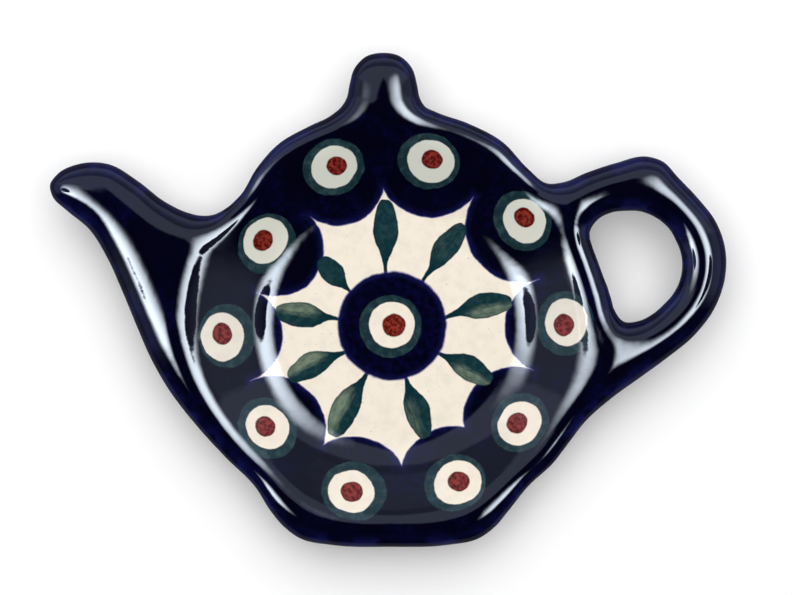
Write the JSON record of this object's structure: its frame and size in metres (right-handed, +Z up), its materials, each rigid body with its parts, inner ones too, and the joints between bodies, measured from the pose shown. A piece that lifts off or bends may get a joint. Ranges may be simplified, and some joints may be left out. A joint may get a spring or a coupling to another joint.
{
  "type": "tea bag rest",
  "caption": "Shallow glazed stoneware tea bag rest in the outline of a teapot, with a round well, a spout, a lid knob and a looped handle, painted with a folk flower and eye spots.",
  "frame": {"origin": "middle of the bounding box in plan, on the table that the foot ring stands on", "axes": "+X towards the handle, +Y towards the lid knob, +Z up out of the well"},
  "size_m": [0.1316, 0.0962, 0.014],
  "materials": {
    "cobalt_glaze": "gloss",
    "deep_cobalt_glaze": "gloss",
    "cream_glaze": "gloss",
    "green_glaze": "gloss",
    "rust_glaze": "gloss",
    "bare_clay": "matte"
  },
  "bodies": {
    "root": {"dish": "cobalt_glaze", "spout": "cobalt_glaze", "lid_knob": "cobalt_glaze", "handle": "cobalt_glaze", "foot_ring": "bare_clay", "star_panel": "cream_glaze", "medallion": "deep_cobalt_glaze", "leaves": "green_glaze", "eye_rings": "green_glaze", "eye_whites": "cream_glaze", "eye_dots": "rust_glaze"}
  },
  "joints": []
}
